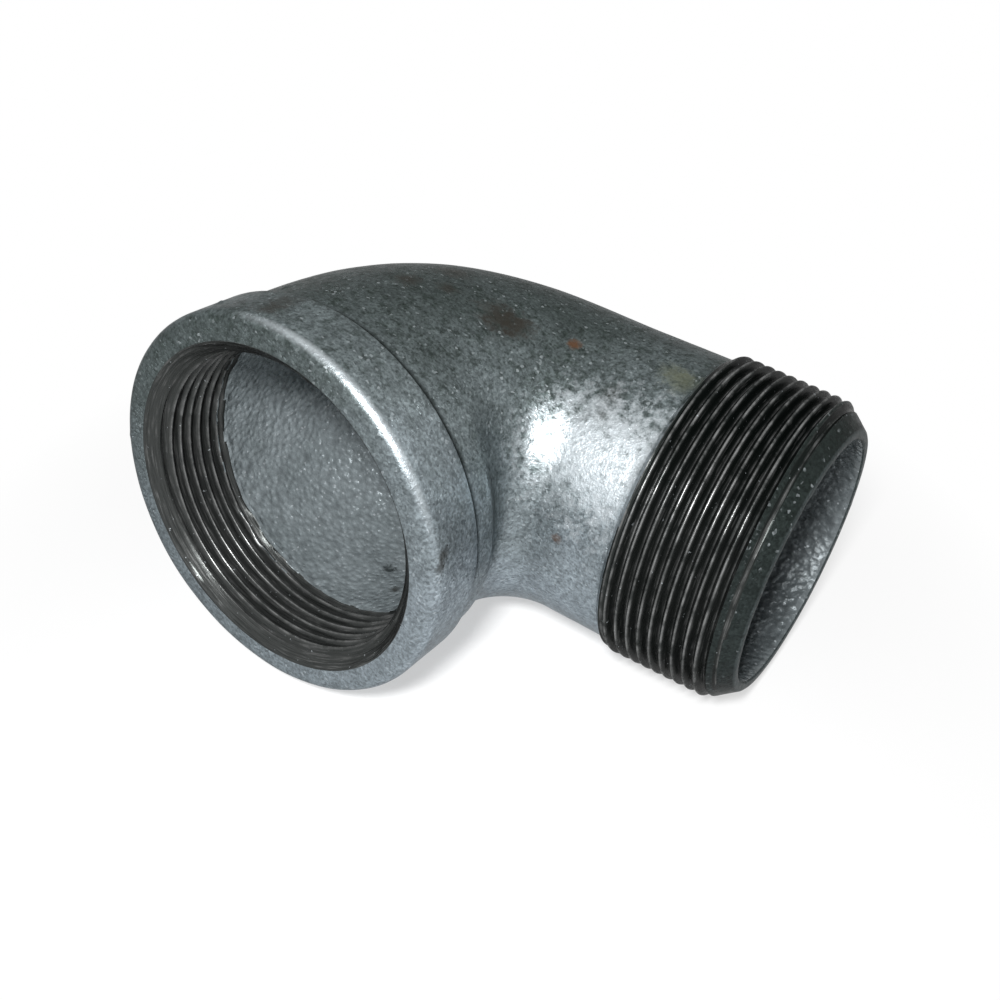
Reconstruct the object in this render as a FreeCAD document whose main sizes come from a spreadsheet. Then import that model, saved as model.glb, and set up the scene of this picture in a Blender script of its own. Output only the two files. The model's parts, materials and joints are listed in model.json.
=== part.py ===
import FreeCAD, Part
import math
import os
import re
import Sketcher

# Street elbow for 2 inch pipe: one iron casting, a socket at one end and a threaded spigot at the other.
# The body's own origin is where the two axes cross. The socket opens towards -Y and the spigot
# points along +X. The body's placement then brings the middle of the socket's mouth to the frame's origin.

NODE = "elbow"
BEND_STATIONS = 7
BEND_TURN = 90.0
TAPER_DELAY = 1.3


# Driving sizes, in millimetres and, for the slope, degrees.
SIZES = {
    "tapping_radius": 27.8,  # socket bored for its thread
    "socket_wall": 7.4,  # bored socket to the outside of the barrel
    "mouth_depth": 3.4,  # countersink at the socket's face
    "mouth_slope": 45.0,  # countersink's slope to the axis
    "collar_height": 1.1,  # how far the collar stands out from the barrel
    "collar_width": 12.3,  # face to the back of the collar
    "collar_front_edge": 1.1,  # rounding of the collar's front edge
    "collar_back_edge": 0.4,  # slope that breaks the collar's back edge and fills its foot
    "barrel_length": 5.5,  # back of the collar to the start of the bend
    "cored_length": 0.8,  # end of the bored length to the start of the bend
    "cored_relief": 0.3,  # how much wider the cored space is than the bored socket
    "crotch_radius": 3.3,  # inside of the bend where it leaves the barrel
    "bend_swell": 2.5,  # how far the bend's middle stands out from a plain arc
    "waterway_radius": 24.2,  # cored hole through the spigot
    "neck_wall": 4.7,  # cored hole to the outside of the neck
    "neck_length": 13.5,  # end of the bend to the spigot's shoulder
    "shoulder_length": 1.4,  # slope from the neck up to the spigot
    "spigot_length": 19.8,  # full diameter of the spigot, cut for its thread
    "spigot_wall": 5.5,  # cored hole to the thread's outside, carried on to the end face
    "spigot_taper": 16.0,  # length over which the spigot's diameter grows by one
    "rim_slope": 4.8,  # length of the spigot's sloped end
    "rim_width": 1.8,  # ring of metal left at the spigot's end face
}

# Sizes that follow from the ones above.
DERIVED = {
    "mouth_radius": "=tapping_radius + mouth_depth * tan(mouth_slope)",
    "barrel_radius": "=tapping_radius + socket_wall",
    "collar_radius": "=barrel_radius + collar_height",
    "cavity_radius": "=tapping_radius + cored_relief",
    "bend_pivot": "=barrel_radius + crotch_radius",
    "collar_back": "=bend_pivot + barrel_length",
    "socket_reach": "=collar_back + collar_width",
    "neck_radius": "=waterway_radius + neck_wall",
    "shoulder_reach": "=bend_pivot + neck_length",
    "thread_reach": "=shoulder_reach + shoulder_length",
    "slope_reach": "=thread_reach + spigot_length",
    "spigot_reach": "=slope_reach + rim_slope",
    "slope_radius": "=waterway_radius + spigot_wall + rim_slope / (2 * spigot_taper)",
    "thread_radius": "=slope_radius + spigot_length / (2 * spigot_taper)",
    "rim_radius": "=waterway_radius + rim_width",
}


def make_sheet(doc):
    """A spreadsheet with one size in each row, its cell's alias the size's own name."""
    sheet = doc.addObject("Spreadsheet::Sheet", "sizes")
    for row, (alias, value) in enumerate({**SIZES, **DERIVED}.items(), start=1):
        sheet.set(f"A{row}", alias)
        sheet.set(f"B{row}", str(value))
        sheet.setAlias(f"B{row}", alias)
    doc.recompute()
    return sheet


def bind(item, prop, formula):
    """Tie a property to the sheet; $name in the formula is the cell with that alias."""
    item.setExpression(prop, re.sub(r"\$(\w+)", r"<<sizes>>.\1", formula))


def origin_plane(body, role):
    """One of the body's own origin planes."""
    return next(plane for plane in body.Origin.OriginFeatures if plane.Role == role)


def flat_sketch(body, name, role="XY_Plane"):
    """An empty sketch on one of the body's origin planes."""
    sketch = body.newObject("Sketcher::SketchObject", name)
    sketch.AttachmentSupport = [(origin_plane(body, role), "")]
    sketch.MapMode = "FlatFace"
    return sketch


def outline_sketch(body, name, corners):
    """A closed outline of straight lines, each corner held by two formulas, across and up."""
    sketch = flat_sketch(body, name)
    count = len(corners)
    start = [FreeCAD.Vector(math.cos(math.tau * i / count), math.sin(math.tau * i / count)) for i in range(count)]
    for i in range(count):
        sketch.addGeometry(Part.LineSegment(start[i], start[(i + 1) % count]))
    for i in range(count):
        sketch.addConstraint(Sketcher.Constraint("Coincident", i, 2, (i + 1) % count, 1))
    for i, formulas in enumerate(corners):
        for kind, place, formula in zip(("DistanceX", "DistanceY"), start[i], formulas):
            datum = sketch.addConstraint(Sketcher.Constraint(kind, -1, 1, i, 1, place))
            bind(sketch, f"Constraints[{datum}]", formula)
    return sketch


def turn(body, kind, name, sketch, axis):
    """Revolve or groove a sketch all the way round one of its axes."""
    feature = body.newObject(f"PartDesign::{kind}", name)
    feature.Profile = sketch
    feature.ReferenceAxis = (sketch, [axis])
    feature.Angle = 360
    return feature


def ring_edge(shape, radius, along):
    """Name of the circular edge round the socket's axis with this radius, at this place along it."""
    for number, edge in enumerate(shape.Edges, start=1):
        curve = edge.Curve
        if isinstance(curve, Part.Circle):
            if abs(curve.Radius - radius) < 0.001 and abs(curve.Center.y - along) < 0.001:
                return f"Edge{number}"
    raise RuntimeError(f"no ring of radius {radius} at {along}")


def soften_ring(doc, body, kind, name, radius, along, prop, size):
    """Round or slope off one ring edge of the casting's outside."""
    base = body.Tip
    feature = body.newObject(f"PartDesign::{kind}", name)
    feature.Base = (base, [ring_edge(base.Shape, radius, along)])
    bind(feature, prop, f"${size}")
    doc.recompute()


def bend_sections(body, name, radius_formula):
    """Circles across the bend, fanned round its pivot from the barrel (first) to the neck (last)."""
    sections = []
    for station in range(BEND_STATIONS):
        angle = BEND_TURN * station / (BEND_STATIONS - 1)
        sketch = flat_sketch(body, f"{name}_{station}", "XZ_Plane")
        arm = f"($bend_pivot + $bend_swell * sin({2 * angle})^2)"
        turned = FreeCAD.Rotation(FreeCAD.Vector(0, 1, 0), -angle)
        sketch.AttachmentOffset = FreeCAD.Placement(FreeCAD.Vector(), turned)
        bind(sketch, "AttachmentOffset.Base.x", f"$bend_pivot - {arm} * cos({angle})")
        bind(sketch, "AttachmentOffset.Base.z", f"$bend_pivot - {arm} * sin({angle})")
        sketch.addGeometry(Part.Circle(FreeCAD.Vector(), FreeCAD.Vector(0, 0, 1), 1))
        sketch.addConstraint(Sketcher.Constraint("Coincident", 0, 3, -1, 1))
        radius = sketch.addConstraint(Sketcher.Constraint("Radius", 0, 1))
        bind(sketch, f"Constraints[{radius}]", radius_formula(angle / BEND_TURN))
        sections.append(sketch)
    return sections


def outside_radius(way):
    """The casting's outside, easing from the barrel at 0 to the neck at 1."""
    late = way ** TAPER_DELAY
    eased = 3 * late ** 2 - 2 * late ** 3
    return f"($barrel_radius + ($neck_radius - $barrel_radius) * {eased:.6f})"


def inside_radius(way):
    """The cored waterway, one wall inside the casting, with the wall thinning evenly."""
    barrel_wall = "($barrel_radius - $cavity_radius)"
    neck_wall = "($neck_radius - $waterway_radius)"
    return f"{outside_radius(way)} - {barrel_wall} * {1 - way:.6f} - {neck_wall} * {way:.6f}"


def loft(body, kind, name, sections):
    """Pass a smooth skin through the sections, as metal or as space."""
    feature = body.newObject(f"PartDesign::{kind}", name)
    feature.Profile = sections[0]
    feature.Sections = sections[1:]
    return feature


def cast_outside(doc, body, sheet):
    """Collar and barrel, bend, neck and spigot, all solid as yet."""
    collar = outline_sketch(body, "collar_outline", [
        ("0", "-$socket_reach"),
        ("$collar_radius", "-$socket_reach"),
        ("$collar_radius", "-$collar_back"),
        ("$barrel_radius", "-$collar_back"),
        ("$barrel_radius", "-$bend_pivot"),
        ("0", "-$bend_pivot"),
    ])
    turn(body, "Revolution", "collar_and_barrel", collar, "V_Axis")
    doc.recompute()

    loft(body, "AdditiveLoft", "bend", bend_sections(body, "bend_outside", outside_radius))
    doc.recompute()

    spigot = outline_sketch(body, "spigot_outline", [
        ("$bend_pivot", "0"),
        ("$bend_pivot", "$neck_radius"),
        ("$shoulder_reach", "$neck_radius"),
        ("$thread_reach", "$thread_radius"),
        ("$slope_reach", "$slope_radius"),
        ("$spigot_reach", "$rim_radius"),
        ("$spigot_reach", "0"),
    ])
    turn(body, "Revolution", "neck_and_spigot", spigot, "H_Axis")
    doc.recompute()

    rim, foot, back = sheet.collar_radius, sheet.barrel_radius, -sheet.collar_back
    soften_ring(doc, body, "Fillet", "collar_front", rim, -sheet.socket_reach, "Radius", "collar_front_edge")
    soften_ring(doc, body, "Chamfer", "collar_back", rim, back, "Size", "collar_back_edge")
    soften_ring(doc, body, "Chamfer", "collar_foot", foot, back, "Size", "collar_back_edge")


def core_inside(doc, body):
    """The waterway round the bend, the bored socket with its countersink, and the hole in the spigot."""
    loft(body, "SubtractiveLoft", "waterway_bend", bend_sections(body, "bend_inside", inside_radius))
    doc.recompute()

    bore_end = "-($bend_pivot + $cored_length)"
    socket = outline_sketch(body, "socket_outline", [
        ("0", "-$socket_reach"),
        ("$mouth_radius", "-$socket_reach"),
        ("$tapping_radius", "$mouth_depth - $socket_reach"),
        ("$tapping_radius", bore_end),
        ("$cavity_radius", bore_end),
        ("$cavity_radius", "-$bend_pivot"),
        ("0", "-$bend_pivot"),
    ])
    turn(body, "Groove", "socket_bore", socket, "V_Axis")
    doc.recompute()

    hole = outline_sketch(body, "spigot_hole_outline", [
        ("$bend_pivot", "0"),
        ("$bend_pivot", "$waterway_radius"),
        ("$spigot_reach", "$waterway_radius"),
        ("$spigot_reach", "0"),
    ])
    turn(body, "Groove", "spigot_hole", hole, "H_Axis")
    doc.recompute()


def check(doc, body):
    """Stop unless every feature was made and the casting is one sound solid, opened from end to end."""
    failed = [item.Name for item in doc.Objects if {"Invalid", "Error"} & set(item.State)]
    if failed:
        raise RuntimeError("failed features: " + ", ".join(failed))
    if body.Shape.isNull() or not body.Shape.isValid() or len(body.Shape.Solids) != 1:
        raise RuntimeError(f"{body.Label} is not one sound solid")
    uncut = doc.getObject("collar_foot").Shape.Volume
    for name in ("waterway_bend", "socket_bore", "spigot_hole"):
        left = doc.getObject(name).Shape.Volume
        if left >= uncut:
            raise RuntimeError(f"{name} cuts nothing")
        uncut = left


def main():
    doc = FreeCAD.newDocument("street_elbow")
    sheet = make_sheet(doc)
    body = doc.addObject("PartDesign::Body", NODE)
    body.Label = NODE
    cast_outside(doc, body, sheet)
    core_inside(doc, body)
    bind(body, "Placement.Base.y", "$socket_reach")
    doc.recompute()
    check(doc, body)
    os.makedirs("parts", exist_ok=True)
    body.Shape.exportStep(f"parts/{NODE}.step")


main()
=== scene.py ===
import json
import math

import bmesh
import bpy
from bpy.props import FloatProperty, FloatVectorProperty, IntProperty, PointerProperty
from mathutils import Matrix, Vector, noise


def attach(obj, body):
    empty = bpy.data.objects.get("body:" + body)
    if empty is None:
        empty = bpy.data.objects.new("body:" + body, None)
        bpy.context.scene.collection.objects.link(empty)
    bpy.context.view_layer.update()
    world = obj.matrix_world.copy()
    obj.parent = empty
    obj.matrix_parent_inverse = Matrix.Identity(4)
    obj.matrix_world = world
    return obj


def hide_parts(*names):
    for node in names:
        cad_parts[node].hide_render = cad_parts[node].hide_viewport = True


bl_info = {
    "name": "Galvanised street elbow",
    "version": (1, 0, 0),
    "blender": (4, 5, 0),
    "location": "View3D > Sidebar > Street elbow",
    "description": "A galvanised iron street elbow with its cut threads, and the studio round it",
    "category": "Object",
}

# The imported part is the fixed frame. Its mounts give the place of the spigot's end.
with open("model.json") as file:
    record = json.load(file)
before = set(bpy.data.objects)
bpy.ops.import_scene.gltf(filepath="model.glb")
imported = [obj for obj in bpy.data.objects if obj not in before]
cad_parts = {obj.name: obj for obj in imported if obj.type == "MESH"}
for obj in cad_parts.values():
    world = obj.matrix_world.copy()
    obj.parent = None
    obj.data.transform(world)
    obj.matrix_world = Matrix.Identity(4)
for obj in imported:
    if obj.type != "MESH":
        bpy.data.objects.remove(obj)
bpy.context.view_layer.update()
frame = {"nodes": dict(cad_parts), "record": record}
mounts = {mount["name"]: mount for mount in frame["record"]["mounts"]}
SPIGOT_END = Vector(mounts["spigot_hole"]["pos_m"])
WATERWAY = mounts["spigot_hole"]["dims"]["r_mm"]
TAPPING = mounts["socket_thread"]["dims"]["r_mm"]

# The casting is built in millimetres about the point where its two axes cross,
# and is brought to the frame, in metres, when it is whole.
MM = 0.001
UP = Vector((0, 0, 1))
ALONG_SOCKET = Vector((0, 1, 0))
ALONG_SPIGOT = Vector((1, 0, 0))
OUT_OF_SOCKET = Vector((-1, 0, 0))
OUT_OF_SPIGOT = Vector((0, 1, 0))

# One pitch of the thread, from crest to crest: place along it, height above the root,
# and how bright its colour is made there: worn bare iron at the crests, and a painted highlight
# at the roots and along the crests' rounding.
THREAD_FORM = (
    (0.00, 1.00, 1.0), (0.05, 0.985, 1.0), (0.11, 0.89, 0.6), (0.28, 0.45, 0.1), (0.45, 0.03, 0.6),
    (0.50, 0.00, 0.9), (0.55, 0.03, 0.6), (0.72, 0.45, 0.1), (0.89, 0.89, 0.6), (0.95, 0.985, 1.0),
    (1.00, 1.00, 1.0),
)

# Direction in which the zinc grows darker, per metre of the frame: partly weathered zinc, partly painted shade on
# the top and the bend.
WEATHER_AND_SHADE = (-0.30, 0.35, 1.0)

# Marks on the zinc, stains and two painted highlights: finish, place in the frame, reach and strength.
MARKS = (
    ("grime", (0.0171, 0.0399, 0.0312), 0.0050, 0.85),
    ("grime", (0.0200, 0.0415, 0.0304), 0.0035, 0.80),
    ("rust", (0.0294, 0.0465, 0.0284), 0.0014, 0.90),
    ("grime", (0.0008, 0.0334, 0.0347), 0.0030, 0.75),
    ("grime", (0.0028, 0.0454, 0.0334), 0.0040, 0.60),
    ("grime", (0.0069, 0.0376, 0.0340), 0.0022, 0.70),
    ("grime", (-0.0046, 0.0050, 0.0360), 0.0028, 0.65),
    ("grime", (-0.0052, 0.0085, 0.0359), 0.0030, 0.55),
    ("rust", (0.0422, 0.0275, 0.0023), 0.0011, 0.70),
    ("grime", (0.0406, 0.0416, 0.0249), 0.0028, 0.45),
    ("grime", (0.0413, 0.0382, 0.0225), 0.0024, 0.45),
    ("grime", (0.0353, 0.0030, 0.0086), 0.0014, 0.70),
    ("grime", (0.0356, 0.0018, 0.0069), 0.0012, 0.70),
    ("tarnish", (0.0499, 0.0499, 0.0282), 0.0034, 0.55),
    ("tarnish", (0.0467, 0.0510, 0.0284), 0.0030, 0.45),
    # These two marks are painted highlights on the side of the neck.
    ("clean_zinc", (0.0550, 0.0330, 0.0160), 0.0150, 0.70),
    ("clean_zinc", (0.0420, 0.0340, 0.0165), 0.0125, 0.75),
    ("oil", (0.0040, 0.0318, -0.0281), 0.0018, 0.85),
    ("grime", (0.0104, 0.0254, -0.0265), 0.0013, 0.80),
)

# Drops of zinc that set on the casting: place in millimetres in the frame, reach and height.
DROPS = (
    ((-13.6, 18.4, 32.4), 1.3, 0.40),
    ((-16.4, 6.0, 32.4), 1.2, 0.35),
    ((4.0, 31.8, -28.1), 1.8, -0.60),
    ((-0.7, 31.1, -28.2), 2.2, 0.60),
)

# Material slots of the casting.
SKIN, CORE, SPIGOT_CUT, SOCKET_CUT = range(4)


def length(name, description, value):
    """A length property, given in millimetres."""
    return FloatProperty(name=name, description=description, default=value * MM,
                         subtype="DISTANCE", unit="LENGTH", precision=5)


def colour(name, description, value):
    """A colour property."""
    return FloatVectorProperty(name=name, description=description, default=value,
                               subtype="COLOR", min=0.0, max=1.0)


class CastingSizes(bpy.types.PropertyGroup):
    """Sizes of the casting."""

    collar_radius: length("Collar radius", "Outside of the socket's collar", 36.3)
    collar_width: length("Collar width", "Face to the back of the collar", 12.3)
    collar_rounding: length("Collar rounding", "Rounding of the collar's front edge", 2.2)
    barrel_radius: length("Barrel radius", "Outside of the socket behind its collar", 35.2)
    mouth_radius: length("Mouth radius", "Countersink at the socket's face", 31.2)
    cavity_radius: length("Cavity radius", "Cored space behind the socket's thread", 28.1)
    crotch_radius: length("Crotch radius", "Inside of the bend where it leaves the barrel", 3.3)
    bend_swell: length("Bend swell", "How far the bend stands out from a plain arc", 2.5)
    neck_radius: length("Neck radius", "Outside of the neck", 28.9)
    neck_length: length("Neck length", "End of the bend to the spigot's shoulder", 13.5)
    shoulder_length: length("Shoulder", "Slope from the neck up to the thread", 1.4)
    rim_slope: length("End slope", "Length of the spigot's sloped end", 4.8)
    rim_width: length("Rim width", "Ring of metal left at the spigot's end", 1.8)
    roughness: length("Cast skin", "How far the cast skin wanders from its true shape", 0.12)
    core_roughness: length("Cored skin", "How far the cored wall wanders", 0.34)
    segments: IntProperty(name="Segments", description="Faces round the casting", default=240, min=48)


class ThreadSizes(bpy.types.PropertyGroup):
    """Sizes of the two pipe threads."""

    pitch: length("Pitch", "Crest to crest", 25.4 / 11.5)
    height: length("Thread height", "Root to crest", 1.767)
    spigot_crest: length("Spigot crest", "Crest radius at the spigot's end", 29.70)
    socket_crest: length("Socket crest", "Crest radius at the socket's face", 28.28)
    taper: FloatProperty(name="Taper", description="Change of radius along the axis", default=1 / 32)
    socket_depth: length("Tapped depth", "How deep the socket's thread goes", 16.9)
    run_out: length("Run-out", "Length over which a thread fades into the casting", 3.4)


class Finishes(bpy.types.PropertyGroup):
    """Colours of the metal."""

    zinc: colour("Zinc", "Main colour of the galvanised skin", (0.160, 0.188, 0.196))
    # Pale zinc is partly painted light, low on the body and at the crotch.
    pale_zinc: colour("Pale zinc", "Clean zinc at the crotch and underneath", (0.255, 0.295, 0.325))
    # Painted highlights and glints: the bright zinc on the neck's side, the collar's edge and the bright specks.
    clean_zinc: colour("Clean zinc", "Bright zinc on the side of the neck", (0.480, 0.520, 0.545))
    # Dark zinc is partly weathered zinc and partly painted shade on the top of the body.
    dark_zinc: colour("Dark zinc", "Weathered zinc on top of the body", (0.026, 0.035, 0.031))
    end_zinc: colour("End zinc", "Dark zinc on the spigot's sloped end", (0.013, 0.018, 0.016))
    cored_zinc: colour("Cored zinc", "Zinc on the cored wall", (0.250, 0.285, 0.300))
    grime: colour("Grime", "Brown-grey stains", (0.034, 0.031, 0.025))
    rust: colour("Rust", "Small spots of rust", (0.110, 0.055, 0.028))
    tarnish: colour("Tarnish", "Yellow tint beside the thread", (0.130, 0.140, 0.090))
    steel: colour("Cut iron", "Bare iron of the threads", (0.210, 0.213, 0.212))
    oil: colour("Oil", "Cutting oil and dirt in the threads", (0.007, 0.010, 0.009))


class Studio(bpy.types.PropertyGroup):
    """Camera and lights."""

    camera_place: FloatVectorProperty(
        name="Camera place", description="Where the camera stands", subtype="TRANSLATION",
        unit="LENGTH", default=(0.111203, -0.11534, 0.116907), precision=5)
    camera_turn: FloatVectorProperty(
        name="Camera turn", description="How the camera is turned", subtype="EULER",
        default=(0.964489, -0.127132, 0.605316), precision=5)
    camera_lens: FloatProperty(name="Lens", description="Focal length on a 36 mm sensor",
                               default=40.267, subtype="DISTANCE_CAMERA")
    key_power: FloatProperty(name="Key light", description="Main softbox", default=1.05, subtype="POWER")
    world_strength: FloatProperty(name="Room light", description="Even light of the room", default=0.13)
    floor_radius: length("Floor radius", "Reach of the pale floor", 600.0)
    floor: colour("Floor", "Colour of the floor", (0.93, 0.93, 0.93))


# Shapes

def in_mm(sizes):
    """The lengths of a property group as plain numbers in millimetres."""
    names = sizes.__annotations__
    return {name: getattr(sizes, name) / MM for name in names if name not in ("segments", "taper")}


def ring_place(centre, out, radius):
    """The matrix that brings a unit circle to a ring of the casting."""
    turned = Matrix((out * radius, UP * radius, out.cross(UP))).transposed().to_4x4()
    return Matrix.Translation(centre) @ turned


def sweep(bm, rings, segments):
    """Carry a circle through a row of rings, leaving the casting's wall behind it."""
    place = ring_place(*rings[0])
    verts = bmesh.ops.create_circle(bm, segments=segments, radius=1.0, matrix=place)["verts"]
    edges = list({edge for vert in verts for edge in vert.link_edges})
    for ring in rings[1:]:
        made = bmesh.ops.extrude_edge_only(bm, edges=edges)["geom"]
        edges = [item for item in made if isinstance(item, bmesh.types.BMEdge) and item.is_boundary]
        verts = [item for item in made if isinstance(item, bmesh.types.BMVert)]
        moved = ring_place(*ring)
        bmesh.ops.transform(bm, matrix=moved @ place.inverted(), verts=verts)
        place = moved


def steps(start, end, longest):
    """Even places from start to end, no further apart than longest; the start itself is left out."""
    count = max(1, math.ceil(abs(end - start) / longest))
    return [start + (end - start) * i / count for i in range(1, count + 1)]


def lathe_line(corners, longest):
    """Points along a lathe outline of (place along the axis, radius) corners."""
    points = [corners[0]]
    for start, end in zip(corners, corners[1:]):
        far = math.dist(start, end)
        for way in steps(0.0, 1.0, longest / max(far, 1e-6)):
            points.append((start[0] + (end[0] - start[0]) * way, start[1] + (end[1] - start[1]) * way))
    return points


class Shape:
    """The casting's measures, worked out from its sizes, in millimetres about the crossing."""

    def __init__(self, casting, thread):
        self.cast = in_mm(casting)
        self.thread = in_mm(thread)
        self.taper = thread.taper
        self.reach = SPIGOT_END.x / MM
        self.mouth = -SPIGOT_END.y / MM
        self.pivot = self.cast["barrel_radius"] + self.cast["crotch_radius"]
        self.shoulder = self.pivot + self.cast["neck_length"]
        self.thread_start = self.shoulder + self.cast["shoulder_length"]
        self.slope = self.reach - self.cast["rim_slope"]
        self.rim = WATERWAY + self.cast["rim_width"]

    def bend_ring(self, degrees, inside):
        """A ring of the bend: its centre fans round the pivot, its radius eases from barrel to neck."""
        way = degrees / 90
        turn = math.radians(degrees)
        out = Vector((-math.cos(turn), math.sin(turn), 0))
        arm = self.pivot + self.cast["bend_swell"] * math.sin(2 * turn) ** 2
        late = way ** 1.3
        eased = 3 * late ** 2 - 2 * late ** 3
        radius = self.cast["barrel_radius"] + (self.cast["neck_radius"] - self.cast["barrel_radius"]) * eased
        if inside:
            barrel_wall = self.cast["barrel_radius"] - self.cast["cavity_radius"]
            neck_wall = self.cast["neck_radius"] - WATERWAY
            radius -= barrel_wall * (1 - way) + neck_wall * way
        return Vector((self.pivot, -self.pivot, 0)) + arm * out, out, radius

    def spigot_crest(self, along):
        return self.thread["spigot_crest"] + (self.reach - along) * self.taper

    def socket_crest(self, depth):
        return self.thread["socket_crest"] - depth * self.taper


def socket_rings(shape):
    """Countersink, face, collar and barrel."""
    cast = shape.cast
    front = shape.mouth
    back = front + cast["collar_width"]
    top = cast["collar_radius"]
    foot = cast["barrel_radius"]
    soft = cast["collar_rounding"]
    corners = [(front + 0.5, cast["mouth_radius"] - 0.5), (front + 0.12, cast["mouth_radius"] - 0.12)]
    corners += [(front, cast["mouth_radius"] + 0.12)]
    corners += [(front + soft - soft * math.cos(t), top - soft + soft * math.sin(t))
                for t in [math.radians(18 * i) for i in range(6)]]
    corners += [(back - 0.45, top), (back - 0.12, top - 0.13), (back, top - 0.45)]
    corners += [(back + 0.05, foot + 0.12), (back + 0.3, foot), (-shape.pivot, foot)]
    return [(Vector((0, along, 0)), OUT_OF_SOCKET, radius) for along, radius in lathe_line(corners, 1.3)]


def bend_rings(shape, inside):
    """The rings of the bend from the barrel to the neck."""
    return [shape.bend_ring(90 * i / 60, inside) for i in range(1, 61)]


def neck_rings(shape):
    """The neck up to the cut where the thread's own sheet begins."""
    places = steps(shape.pivot, shape.shoulder - 0.1, 1.4)
    return [(Vector((along, 0, 0)), OUT_OF_SPIGOT, shape.cast["neck_radius"]) for along in places]


def end_rings(shape):
    """The spigot's sloped end, its rim and the waterway back to the bend."""
    cut = shape.reach - 2.0
    slope = (shape.spigot_crest(shape.slope) - shape.rim) / shape.cast["rim_slope"]
    corners = [(cut, shape.rim + slope * (shape.reach - cut)),
               (shape.reach - 0.25, shape.rim + slope * 0.25),
               (shape.reach, shape.rim - 0.2),
               (shape.reach, WATERWAY + 0.3),
               (shape.reach - 0.3, WATERWAY),
               (shape.pivot, WATERWAY)]
    return [(Vector((along, 0, 0)), OUT_OF_SPIGOT, radius) for along, radius in lathe_line(corners, 1.4)]


def form_at(phase):
    """Height above the root and the wear and painted sheen of the thread's form, 0 to 1, at a place within one
    pitch.
    """
    for before, after in zip(THREAD_FORM, THREAD_FORM[1:]):
        if phase <= after[0]:
            way = (phase - before[0]) / (after[0] - before[0])
            return before[1] + (after[1] - before[1]) * way, before[2] + (after[2] - before[2]) * way
    return THREAD_FORM[-1][1:]


def thread_sheet(shape, segments, along, out, start, end, radius_at, slot):
    """A right-handed helix of the thread's form, cut square at both ends, as a mesh.

    radius_at gives each point's radius, whether the tool cut it, and how much of the worn and painted brightness
    it keeps, from its place along the axis, the height of the form and its direction from the axis.
    """
    pitch = shape.thread["pitch"]
    turns = math.ceil((end - start) / pitch) + 3
    first = start - 1.5 * pitch
    bm = bmesh.new()
    profile = [bm.verts.new(along * (first + pitch * place) + out) for place, _, _ in THREAD_FORM]
    wire = [bm.edges.new(pair) for pair in zip(profile, profile[1:])]
    bmesh.ops.spin(bm, geom=profile + wire, cent=(0, 0, 0), axis=along, dvec=along * (pitch / segments),
                   angle=math.tau, steps=segments, use_duplicate=False)
    one_turn = bm.verts[:] + bm.edges[:] + bm.faces[:]
    for number in range(1, turns):
        copied = bmesh.ops.duplicate(bm, geom=one_turn)["geom"]
        verts = [item for item in copied if isinstance(item, bmesh.types.BMVert)]
        bmesh.ops.translate(bm, vec=along * (pitch * number), verts=verts)
    bmesh.ops.remove_doubles(bm, verts=bm.verts[:], dist=0.0005)
    cut_by_tool = bm.verts.layers.float.new("cut")
    wear_and_sheen_layer = bm.verts.layers.float.new("shine")
    side = along.cross(out)
    for vert in bm.verts:
        place = vert.co.dot(along)
        turned = math.atan2(vert.co.dot(side), vert.co.dot(out)) / math.tau
        phase = ((place - first) / pitch - turned) % 1.0
        direction = (vert.co - along * place).normalized()
        height, shine = form_at(phase)
        radius, cut, bright = radius_at(place, height, direction)
        vert.co = along * place + direction * radius
        vert[cut_by_tool] = cut
        vert[wear_and_sheen_layer] = shine * bright
    for place, normal in ((start, -along), (end, along)):
        everything = bm.verts[:] + bm.edges[:] + bm.faces[:]
        bmesh.ops.bisect_plane(bm, geom=everything, dist=0.002, plane_co=along * place,
                               plane_no=normal, clear_outer=True)
    for face in bm.faces:
        face.material_index = slot if sum(vert[cut_by_tool] for vert in face.verts) > 1.5 else face.material_index
    mesh = bpy.data.meshes.new("thread_sheet")
    bm.to_mesh(mesh)
    bm.free()
    return mesh


def spigot_thread(shape, segments):
    """The spigot's thread, from its shoulder to its sloped end."""
    depth = shape.thread["height"]
    neck = shape.cast["neck_radius"]
    slope = (shape.spigot_crest(shape.slope) - shape.rim) / shape.cast["rim_slope"]
    rise = (shape.spigot_crest(shape.thread_start) - neck) / shape.cast["shoulder_length"]

    def radius_at(place, height, direction):
        crest = shape.spigot_crest(place)
        chatter = noise.noise((direction * 14 + ALONG_SPIGOT * place) * 1.1) * 0.02
        fade = min(1.0, max(0.15, (place - shape.shoulder) / shape.thread["run_out"]))
        radius = max(crest - depth * (1 - height), crest - depth * fade) + chatter
        blank = min(neck + rise * max(0.0, place - shape.shoulder),
                    crest + 0.2, shape.rim + slope * (shape.reach - place))
        return min(radius, blank), float(radius < blank), 1.0

    return thread_sheet(shape, segments, ALONG_SPIGOT, OUT_OF_SPIGOT, shape.shoulder + 0.1,
                        shape.reach - 2.2, radius_at, SPIGOT_CUT)


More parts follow.
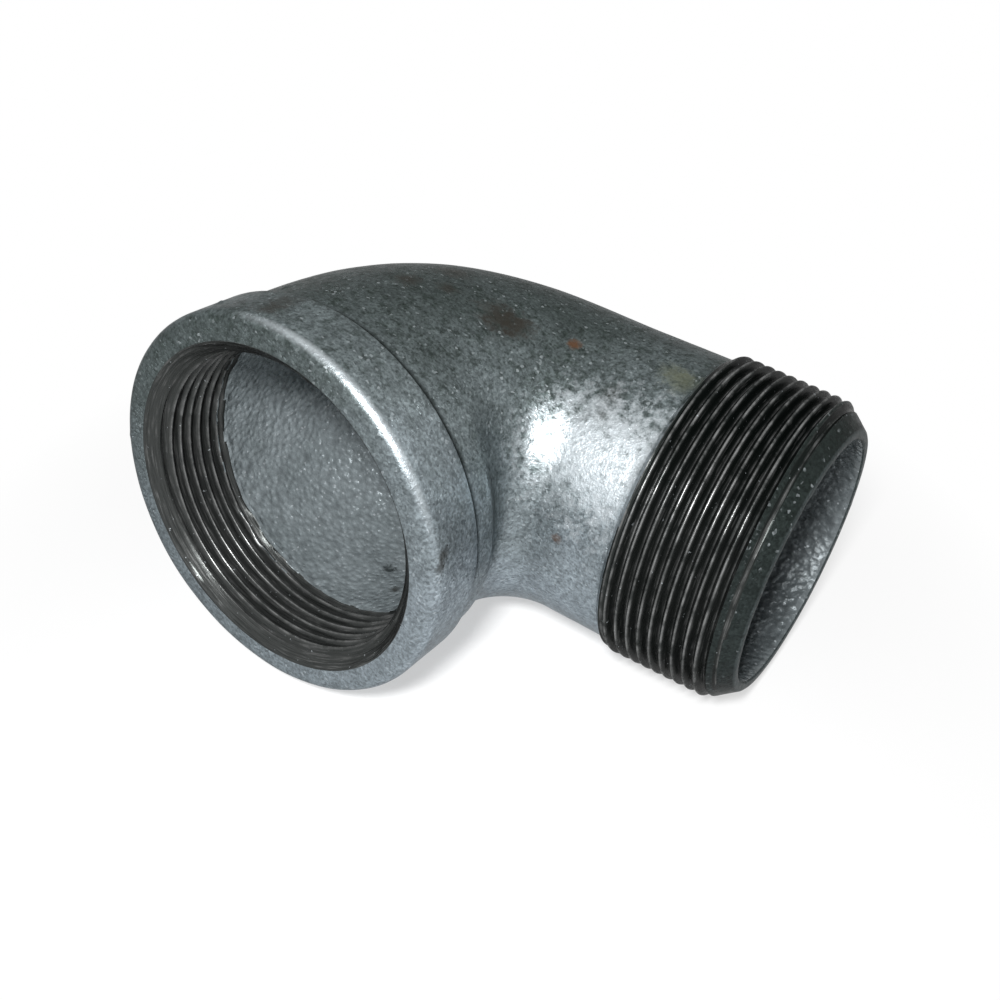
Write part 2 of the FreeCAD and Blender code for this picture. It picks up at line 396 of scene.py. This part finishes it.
def socket_thread(shape, segments):
    """The socket's thread, from its countersink to where the tap stopped."""
    full = shape.thread["height"]

    def radius_at(place, height, direction):
        depth = place - shape.mouth
        root = shape.socket_crest(depth) + full
        run_out = shape.thread["run_out"] / 2
        lead = max(0.0, depth - (shape.thread["socket_depth"] - run_out))
        cut = min(root - full * height, root - lead * full / run_out)
        cut += noise.noise((direction * 14 + ALONG_SOCKET * place) * 1.1) * 0.015
        cone = shape.cast["mouth_radius"] - depth
        way = min(1.0, max(0.0, (depth - 12.5) / 3.5))
        wander = noise.noise(direction * 9 + ALONG_SOCKET * depth * 0.25) * 0.3
        wall = shape.cast["cavity_radius"] - 0.7 + (0.6 + wander) * way * way * (3 - 2 * way)
        bright = 0.1 if cone > cut else max(0.0, 1.0 - lead / run_out)
        return max(cut, cone, wall), float(max(cut, cone) > wall), bright

    return thread_sheet(shape, segments, ALONG_SOCKET, OUT_OF_SOCKET, shape.mouth + 0.7,
                        -shape.pivot - 0.2, radius_at, SOCKET_CUT)


def open_edges(bm, along, low, high):
    """The open edges between two planes across an axis."""
    return [edge for edge in bm.edges if edge.is_boundary
            and all(low < vert.co.dot(along) < high for vert in edge.verts)]


def roughen(bm, shape):
    """Let the cast skin wander a little, and leave what the tools cut as it is."""
    bm.normal_update()
    cut = bm.verts.layers.float["cut"]
    moved = []
    for vert in bm.verts:
        if vert[cut] > 0.01:
            continue
        place = vert.co
        if vert.normal.dot(place - nearest_axis(shape, place)) < 0:
            amount = shape.cast["core_roughness"]
            wander = noise.fractal(place / 5.0, 0.9, 2.1, 3)
        else:
            amount = shape.cast["roughness"]
            wander = 0.7 * noise.fractal(place / 15.0, 0.9, 2.1, 2)
            wander += 0.8 * max(0.0, 1.0 - abs(place.z) / 1.1)
        if place.y < shape.mouth + 0.4:
            amount *= min(1.0, max(0.0, math.hypot(place.x, place.z) - shape.cast["mouth_radius"] - 0.2))
        if place.x > shape.reach - 0.5:
            amount *= 0.4
        wander *= amount
        for centre, reach, height in DROPS:
            far = (place + Vector((0, -shape.mouth, 0)) - Vector(centre)).length
            if far < reach:
                wander += height * (1 - (far / reach) ** 2) ** 2
        moved.append((vert, vert.normal * wander))
    for vert, step in moved:
        vert.co += step


def nearest_axis(shape, place):
    """The point of the elbow's middle line beside a place on its wall."""
    if place.y < -shape.pivot:
        return Vector((0, place.y, 0))
    if place.x > shape.pivot:
        return Vector((place.x, 0, 0))
    away = Vector((place.x - shape.pivot, place.y + shape.pivot, 0))
    degrees = math.degrees(math.atan2(away.y, -away.x))
    return shape.bend_ring(min(90.0, max(0.0, degrees)), False)[0]


def build_casting(casting, thread):
    """One closed skin: outside, end slope, waterway and both threads."""
    shape = Shape(casting, thread)
    segments = casting.segments
    bm = bmesh.new()
    bm.verts.layers.float.new("cut")
    bm.verts.layers.float.new("shine")
    sweep(bm, socket_rings(shape) + bend_rings(shape, False) + neck_rings(shape), segments)
    inner_bend = [shape.bend_ring(0, True)] + bend_rings(shape, True)
    sweep(bm, end_rings(shape) + inner_bend[-2::-1], segments)
    for mesh in (spigot_thread(shape, segments), socket_thread(shape, segments)):
        bm.from_mesh(mesh)
        bpy.data.meshes.remove(mesh)
    gaps = (
        (ALONG_SPIGOT, shape.shoulder - 0.3, shape.shoulder + 0.3),
        (ALONG_SPIGOT, shape.reach - 2.4, shape.reach - 1.8),
        (ALONG_SOCKET, -shape.pivot - 0.4, -shape.pivot + 0.2),
        (ALONG_SOCKET, shape.mouth + 0.3, shape.mouth + 0.9),
    )
    for along, low, high in gaps:
        bmesh.ops.bridge_loops(bm, edges=open_edges(bm, along, low, high))
    bmesh.ops.recalc_face_normals(bm, faces=bm.faces[:])
    still_open = [edge for edge in bm.edges if not edge.is_manifold]
    if still_open:
        raise RuntimeError(f"the casting has {len(still_open)} open edges")
    for face in bm.faces:
        middle = face.calc_center_median()
        if face.material_index == 0:
            if middle.y < shape.mouth + 1.0 and Vector((middle.x, middle.z)).length < shape.cast["mouth_radius"]:
                face.material_index = SOCKET_CUT
            else:
                outward = (middle - nearest_axis(shape, middle)).normalized()
                face.material_index = CORE if face.normal.dot(outward) < -0.8 else SKIN
    roughen(bm, shape)
    for face in bm.faces:
        face.smooth = True
    for edge in bm.edges:
        edge.smooth = edge.calc_face_angle(0.0) < math.radians(45)
    bmesh.ops.scale(bm, vec=(MM, MM, MM), verts=bm.verts[:])
    bmesh.ops.translate(bm, vec=(0, SPIGOT_END.y, 0), verts=bm.verts[:])
    mesh = bpy.data.meshes.new("elbow_casting")
    bm.to_mesh(mesh)
    bm.free()
    return mesh


# Finishes

def node(tree, kind, settings=(), **inputs):
    """Add a shader node; settings are its own options, inputs are values or other sockets."""
    made = tree.nodes.new("ShaderNode" + kind)
    for name, value in dict(settings).items():
        setattr(made, name, value)
    for name, value in inputs.items():
        key = int(name[1:]) if name[0] == "i" and name[1:].isdigit() else name.replace("_", " ")
        if isinstance(value, bpy.types.NodeSocket):
            tree.links.new(value, made.inputs[key])
        else:
            made.inputs[key].default_value = value
    return made


def new_material(name):
    """An empty node material with its output and principled shader."""
    material = bpy.data.materials.new(name)
    material.use_nodes = True
    tree = material.node_tree
    tree.nodes.clear()
    shader = tree.nodes.new("ShaderNodeBsdfPrincipled")
    output = tree.nodes.new("ShaderNodeOutputMaterial")
    tree.links.new(shader.outputs["BSDF"], output.inputs["Surface"])
    return material, tree, shader


def grain(tree, where, scale, detail=4.0, roughness=0.55, distortion=0.0):
    """Cloudy noise, 0 to 1."""
    return node(tree, "TexNoise", Vector=where, Scale=scale, Detail=detail, Roughness=roughness,
                Distortion=distortion).outputs["Fac"]


def spread(tree, value, low, high, to_low=0.0, to_high=1.0):
    """Stretch a range of values to another, and stop at its ends."""
    return node(tree, "MapRange", Value=value, From_Min=low, From_Max=high, To_Min=to_low,
                To_Max=to_high).outputs["Result"]


def sums(tree, operation, first, second):
    """One step of arithmetic."""
    return node(tree, "Math", {"operation": operation}, i0=first, i1=second).outputs["Value"]


def blend(tree, share, under, over, mode="MIX"):
    """Lay one colour over another by a share."""
    made = node(tree, "Mix", {"data_type": "RGBA", "blend_type": mode}, i0=share)
    for key, value in ((6, under), (7, over)):
        if isinstance(value, bpy.types.NodeSocket):
            tree.links.new(value, made.inputs[key])
        else:
            made.inputs[key].default_value = (*value, 1.0)
    return made.outputs[2]


def bump(tree, height, depth, strength=1.0, under=None):
    """Raise a surface by a height, in metres at full white."""
    made = node(tree, "Bump", Height=height, Distance=depth, Strength=strength)
    if under is not None:
        tree.links.new(under, made.inputs["Normal"])
    return made.outputs["Normal"]


def even_shader(shader, metallic, level, tint):
    """Set what is the same all over a surface."""
    shader.inputs["Metallic"].default_value = metallic
    shader.inputs["Specular IOR Level"].default_value = level
    shader.inputs["Specular Tint"].default_value = (tint, tint, tint, 1.0)


def shaded(tree, colour_socket, value):
    """Make a colour lighter or darker by a value near 1."""
    made = node(tree, "Mix", {"data_type": "RGBA", "blend_type": "MULTIPLY"}, i0=1.0)
    tree.links.new(colour_socket, made.inputs[6])
    tree.links.new(value, made.inputs[7])
    return made.outputs[2]


def marked(tree, base, where, ragged, colours):
    """Lay the marks over a colour, each with a ragged edge."""
    for finish, place, reach, strength in MARKS:
        far = node(tree, "VectorMath", {"operation": "DISTANCE"}, i0=where, i1=place).outputs["Value"]
        edge = sums(tree, "ADD", far, spread(tree, ragged, 0.3, 0.7, -reach * 0.5, reach * 0.5))
        share = spread(tree, edge, reach * 0.3, reach * 1.1, strength, 0.0)
        base = blend(tree, share, base, getattr(colours, finish))
    return base


def zinc_material(colours, name):
    """Hot-dip zinc on rough cast iron: clouds, fine grain with painted glints, stains, painted shade and painted
    highlights, and a rough skin.
    """
    material, tree, shader = new_material(name)
    where = node(tree, "TexCoord").outputs["Object"]
    across = node(tree, "SeparateXYZ", Vector=where).outputs
    clouds = grain(tree, where, 60, 4, 0.55)
    patches = grain(tree, where, 190, 5, 0.65)
    mottle = grain(tree, where, 620, 5, 0.65)
    speck = grain(tree, where, 1900, 3, 0.6)
    cells = node(tree, "TexVoronoi", {"feature": "F1"}, Vector=where, Scale=2100)
    spangle = node(tree, "SeparateColor", Color=cells.outputs["Color"]).outputs["Red"]

    # The zinc is darker towards the top and the bend, and paler low down and on the collar: partly weathered
    # zinc, partly painted shade and painted light.
    slope = node(tree, "VectorMath", {"operation": "DOT_PRODUCT"}, i0=where, i1=WEATHER_AND_SHADE)
    height = sums(tree, "ADD", slope.outputs["Value"], spread(tree, clouds, 0.3, 0.7, -0.008, 0.008))
    height = sums(tree, "SUBTRACT", height, spread(tree, across["Y"], 0.0120, 0.0160, 0.010, 0.0))
    dirt_and_shade = spread(tree, height, 0.0, 0.036, 0.2, 1.0)
    base = blend(tree, spread(tree, height, -0.020, 0.012, 1.0, 0.0), colours.zinc, colours.pale_zinc)
    base = blend(tree, spread(tree, height, 0.008, 0.045, 0.0, 0.78), base, colours.dark_zinc)
    base = shaded(tree, base, spread(tree, patches, 0.32, 0.68, 1.16, 0.84))
    wear_and_painted_light = sums(tree, "MULTIPLY", spread(tree, mottle, 0.48, 0.64, 0.0, 0.85), dirt_and_shade)
    base = blend(tree, wear_and_painted_light, base, colours.dark_zinc)
    dots = sums(tree, "MULTIPLY", spread(tree, speck, 0.58, 0.70, 0.0, 0.7), dirt_and_shade)
    base = blend(tree, dots, base, colours.dark_zinc)

    # The face, the sloped end and its rim are darker than the rest.
    face = sums(tree, "MULTIPLY", spread(tree, across["Y"], 0.0002, 0.0011, 1.0, 0.0),
                spread(tree, across["X"], -0.036, 0.036, 0.55, 0.22))
    base = blend(tree, face, base, colours.dark_zinc)
    base = blend(tree, spread(tree, across["X"], 0.0727, 0.0737, 0.0, 0.95), base, colours.end_zinc)
    base = blend(tree, spread(tree, across["X"], 0.07770, 0.07790, 0.0, 0.22), base, colours.zinc)
    base = shaded(tree, base, spread(tree, spangle, 0.0, 1.0, 0.78, 1.35))
    base = shaded(tree, base, spread(tree, speck, 0.3, 0.6, 1.25, 0.85))
    # Painted glints: a few grains of the spangle made bright.
    painted_glint = sums(tree, "MULTIPLY", spread(tree, spangle, 0.965, 0.985, 0.0, 0.40), spread(tree, mottle, 0.4, 0.6))
    base = blend(tree, painted_glint, base, colours.clean_zinc)

    # Painted highlight: the collar's front edge is made bright on its upper right, where the lamp's highlight
    # runs.
    highlight_side = node(tree, "VectorMath", {"operation": "DOT_PRODUCT"}, i0=where, i1=(0.474, 0.0, 0.881))
    edge = sums(tree, "MULTIPLY", spread(tree, across["Y"], 0.0003, 0.0009, 0.0, 1.0),
                spread(tree, across["Y"], 0.0012, 0.0020, 0.55, 0.0))
    edge = sums(tree, "MULTIPLY", edge, spread(tree, highlight_side.outputs["Value"], 0.026, 0.034))
    base = blend(tree, edge, base, colours.clean_zinc)

    # Painted shade in the crease behind the collar, partly dirt.
    crease_shade_and_dirt = sums(tree, "MULTIPLY", spread(tree, across["Y"], 0.01225, 0.01240, 0.0, 0.9),
                  spread(tree, across["Y"], 0.0134, 0.0144, 1.0, 0.0))
    base = blend(tree, crease_shade_and_dirt, base, colours.oil)
    base = marked(tree, base, where, mottle, colours)
    tree.links.new(base, shader.inputs["Base Color"])
    even_shader(shader, 0.75, 0.3, 0.35)
    rough = sums(tree, "ADD", spread(tree, mottle, 0.3, 0.7, 0.30, 0.44),
                 spread(tree, spangle, 0.0, 1.0, -0.06, 0.06))
    tree.links.new(rough, shader.inputs["Roughness"])
    first = bump(tree, mottle, 0.00010)
    second = bump(tree, speck, 0.00008, 1.0, first)
    third = bump(tree, spangle, 0.00004, 1.0, second)
    tree.links.new(third, shader.inputs["Normal"])
    return material


def core_material(colours, name):
    """The cored wall: pale zinc over a skin as knobbly as orange peel, with a few painted glints and painted
    shade deep in the spigot's waterway.
    """
    material, tree, shader = new_material(name)
    where = node(tree, "TexCoord").outputs["Object"]
    clouds = grain(tree, where, 110, 4, 0.6)
    fine = grain(tree, where, 1500, 4, 0.6)
    cells = node(tree, "TexVoronoi", {"feature": "F1"}, Vector=where, Scale=2600)
    spangle = node(tree, "SeparateColor", Color=cells.outputs["Color"]).outputs["Red"]
    knobs = node(tree, "TexVoronoi", {"feature": "SMOOTH_F1"}, Vector=where, Scale=900).outputs["Distance"]

    base = blend(tree, spread(tree, clouds, 0.35, 0.68, 0.0, 0.55), colours.cored_zinc, colours.zinc)
    base = shaded(tree, base, spread(tree, knobs, 0.1, 0.8, 1.12, 0.70))
    base = shaded(tree, base, spread(tree, fine, 0.3, 0.7, 1.15, 0.82))
    # Painted shade: the waterway grows darker towards the spigot's end.
    along = node(tree, "SeparateXYZ", Vector=where).outputs["X"]
    base = shaded(tree, base, spread(tree, along, 0.056, 0.070, 1.0, 0.55))
    # Painted glints: a few small bright specks.
    base = blend(tree, spread(tree, spangle, 0.984, 0.992, 0.0, 0.6), base, colours.clean_zinc)
    base = marked(tree, base, where, fine, colours)
    tree.links.new(base, shader.inputs["Base Color"])
    even_shader(shader, 0.22, 0.5, 0.45)
    tree.links.new(spread(tree, fine, 0.3, 0.7, 0.22, 0.36), shader.inputs["Roughness"])
    first = bump(tree, knobs, 0.00040)
    second = bump(tree, fine, 0.00014, 1.0, first)
    tree.links.new(second, shader.inputs["Normal"])
    return material


def cut_material(colours, name, stretch, dirt, shaded_top):
    """Bare iron cut by the die or tap: dark and oily, with worn crests, painted highlights along crests and
    roots, painted glints, and painted shade towards the top.
    """
    material, tree, shader = new_material(name)
    where = node(tree, "TexCoord").outputs["Object"]
    across = node(tree, "SeparateXYZ", Vector=where).outputs
    along = node(tree, "Mapping", Vector=where, Scale=stretch).outputs["Vector"]
    shine = node(tree, "Attribute", {"attribute_name": "shine"}).outputs["Fac"]
    marks = grain(tree, along, 5200, 4, 0.6)
    patches = grain(tree, where, 260, 5, 0.65)
    specks = grain(tree, where, 1300, 3, 0.6)
    # Painted shade: the flanks darken towards the top.
    flanks = sums(tree, "MULTIPLY", spread(tree, marks, 0.35, 0.75, dirt * 0.5, dirt),
                  spread(tree, across["Z"], 0.010, 0.026, 1.0, shaded_top))
    base = blend(tree, flanks, colours.oil, colours.steel)
    scratch = sums(tree, "MULTIPLY", spread(tree, marks, 0.56, 0.64, 0.0, 0.35), spread(tree, patches, 0.42, 0.6))
    base = blend(tree, scratch, base, colours.steel)
    # Worn bare iron at the crests, and a painted highlight at the roots and along the crests' rounding.
    wear_and_painted_light = sums(tree, "MULTIPLY", spread(tree, shine, 0.40, 1.0), spread(tree, patches, 0.38, 0.62, 0.10, 0.9))
    base = blend(tree, wear_and_painted_light, base, colours.steel)
    # Painted glints: small bright specks.
    base = blend(tree, spread(tree, specks, 0.70, 0.73, 0.0, 0.9), base, colours.clean_zinc)
    tree.links.new(base, shader.inputs["Base Color"])
    even_shader(shader, 0.72, 0.2, 0.2)
    tree.links.new(spread(tree, marks, 0.3, 0.7, 0.20, 0.42), shader.inputs["Roughness"])
    first = bump(tree, marks, 0.00003)
    second = bump(tree, specks, 0.00003, 1.0, first)
    tree.links.new(second, shader.inputs["Normal"])
    return material


# Operators

class BuildCasting(bpy.types.Operator):
    """Build the elbow's casting with both threads"""

    bl_idname = "street_elbow.build_casting"
    bl_label = "Casting and threads"

    def execute(self, context):
        scene = context.scene
        mesh = build_casting(scene.elbow_casting, scene.elbow_thread)
        piece = bpy.data.objects.new("elbow_casting", mesh)
        scene.collection.objects.link(piece)
        colours = scene.elbow_finish
        mesh.materials.append(zinc_material(colours, "galvanised skin"))
        mesh.materials.append(core_material(colours, "galvanised cored wall"))
        mesh.materials.append(cut_material(colours, "spigot thread", (1.0, 0.03, 0.03), 0.13, 0.10))
        mesh.materials.append(cut_material(colours, "socket thread", (0.03, 1.0, 0.03), 0.28, 1.0))
        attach(piece, "root")
        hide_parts("elbow")
        return {"FINISHED"}


def resting_plane(piece):
    """The plane that the elbow rests on: the side of its hull under its centre of mass."""
    bm = bmesh.new()
    bm.from_mesh(frame["nodes"]["elbow"].data)
    bmesh.ops.remove_doubles(bm, verts=bm.verts[:], dist=1e-6)
    weight = Vector()
    volume = 0.0
    for triangle in bm.calc_loop_triangles():
        a, b, c = (loop.vert.co for loop in triangle)
        part = a.dot(b.cross(c)) / 6
        volume += part
        weight += part * (a + b + c) / 4
    centre = weight / volume
    hull = bmesh.ops.convex_hull(bm, input=bm.verts[:], use_existing_faces=False)["geom"]
    for face in hull:
        if isinstance(face, bmesh.types.BMFace) and face.normal.z < -0.9:
            corners = [vert.co for vert in face.verts]
            hit = centre + face.normal * ((corners[0] - centre).dot(face.normal))
            sides = [(corners[i] - corners[i - 1]).cross(hit - corners[i - 1]).dot(face.normal)
                     for i in range(len(corners))]
            if all(side >= 0 for side in sides) or all(side <= 0 for side in sides):
                normal = -face.normal.copy()
                lowest = min(vert.co.dot(normal) for vert in piece.data.vertices)
                bm.free()
                return normal, normal * lowest
    raise RuntimeError("no side of the hull lies under the centre of mass")


def floor_material(studio):
    """A pale floor that keeps the shadow, turns white further out and can't be seen from below."""
    material = bpy.data.materials.new("floor")
    material.use_nodes = True
    tree = material.node_tree
    tree.nodes.clear()
    matt = node(tree, "BsdfDiffuse", Color=(*studio.floor, 1.0))
    white = node(tree, "Emission", Color=(1.0, 1.0, 1.0, 1.0), Strength=1.0)
    clear = node(tree, "BsdfTransparent")
    rays = node(tree, "LightPath").outputs
    seen = sums(tree, "MAXIMUM", rays["Is Camera Ray"],
                sums(tree, "MAXIMUM", rays["Is Glossy Ray"], rays["Is Transmission Ray"]))
    where = node(tree, "TexCoord").outputs["Object"]
    far = node(tree, "VectorMath", {"operation": "LENGTH"}, i0=where).outputs["Value"]
    near_share = spread(tree, far, 0.03, 0.12, 0.50, 1.0)
    lit = node(tree, "MixShader", i0=sums(tree, "MULTIPLY", seen, near_share),
               i1=matt.outputs["BSDF"], i2=white.outputs["Emission"])
    below = node(tree, "NewGeometry").outputs["Backfacing"]
    shown = node(tree, "MixShader", i0=below, i1=lit.outputs["Shader"], i2=clear.outputs["BSDF"])
    output = node(tree, "OutputMaterial")
    tree.links.new(shown.outputs["Shader"], output.inputs["Surface"])
    return material


def softbox(name, place, target, size, power):
    """A square lamp that faces a point."""
    lamp = bpy.data.lights.new(name, "AREA")
    lamp.shape = "SQUARE"
    lamp.size = size
    lamp.energy = power
    holder = bpy.data.objects.new(name, lamp)
    holder.location = place
    holder.rotation_euler = (Vector(target) - Vector(place)).to_track_quat("-Z", "Y").to_euler()
    bpy.context.scene.collection.objects.link(holder)


class BuildStage(bpy.types.Operator):
    """Set the floor, the lights, the white room and the camera"""

    bl_idname = "street_elbow.build_stage"
    bl_label = "Floor, light and camera"

    def execute(self, context):
        scene = context.scene
        studio = scene.elbow_studio
        normal, point = resting_plane(bpy.data.objects["elbow_casting"])
        bm = bmesh.new()
        turned = UP.rotation_difference(normal).to_matrix().to_4x4()
        bmesh.ops.create_circle(bm, cap_ends=True, segments=96, radius=studio.floor_radius)
        mesh = bpy.data.meshes.new("floor")
        bm.to_mesh(mesh)
        bm.free()
        mesh.materials.append(floor_material(studio))
        floor = bpy.data.objects.new("floor", mesh)
        centre = Vector((0.02, 0.04, 0))
        floor.matrix_world = Matrix.Translation(centre + normal * (point - centre).dot(normal)) @ turned
        scene.collection.objects.link(floor)

        middle = (0.02, 0.045, 0.0)
        softbox("key light", (0.097, -0.150, 0.172), middle, 0.034, studio.key_power)

        world = bpy.data.worlds.new("white room")
        world.use_nodes = True
        tree = world.node_tree
        tree.nodes.clear()
        rays = node(tree, "LightPath").outputs
        seen = sums(tree, "MAXIMUM", rays["Is Camera Ray"],
                    sums(tree, "MAXIMUM", rays["Is Glossy Ray"], rays["Is Transmission Ray"]))
        strength = spread(tree, seen, 0.0, 1.0, studio.world_strength, 1.0)
        room = node(tree, "Background", Color=(1.0, 1.0, 1.0, 1.0), Strength=strength)
        output = node(tree, "OutputWorld")
        tree.links.new(room.outputs["Background"], output.inputs["Surface"])
        scene.world = world

        camera = bpy.data.cameras.new("camera")
        camera.sensor_width = 36.0
        camera.lens = studio.camera_lens
        camera.clip_start = 0.01
        camera.clip_end = 20.0
        holder = bpy.data.objects.new("camera", camera)
        holder.location = studio.camera_place
        holder.rotation_euler = studio.camera_turn
        scene.collection.objects.link(holder)
        scene.camera = holder
        scene.view_settings.view_transform = "Standard"
        return {"FINISHED"}


class ElbowPanel(bpy.types.Panel):
    """Sizes, finishes and the buttons that build the scene"""

    bl_idname = "VIEW3D_PT_street_elbow"
    bl_label = "Street elbow"
    bl_space_type = "VIEW_3D"
    bl_region_type = "UI"
    bl_category = "Street elbow"

    def draw(self, context):
        layout = self.layout
        for group in GROUPS:
            box = layout.box()
            settings = getattr(context.scene, group)
            for name in GROUPS[group].__annotations__:
                box.prop(settings, name)
        for operator in OPERATORS:
            layout.operator(operator.bl_idname)


GROUPS = {
    "elbow_casting": CastingSizes,
    "elbow_thread": ThreadSizes,
    "elbow_finish": Finishes,
    "elbow_studio": Studio,
}
OPERATORS = (BuildCasting, BuildStage)
CLASSES = (*GROUPS.values(), *OPERATORS, ElbowPanel)


def register():
    for item in CLASSES:
        bpy.utils.register_class(item)
    for name, group in GROUPS.items():
        setattr(bpy.types.Scene, name, PointerProperty(type=group))


def unregister():
    for name in GROUPS:
        delattr(bpy.types.Scene, name)
    for item in reversed(CLASSES):
        bpy.utils.unregister_class(item)


def main():
    register()
    bpy.ops.street_elbow.build_casting()
    bpy.ops.street_elbow.build_stage()


if __name__ == "__main__":
    main()
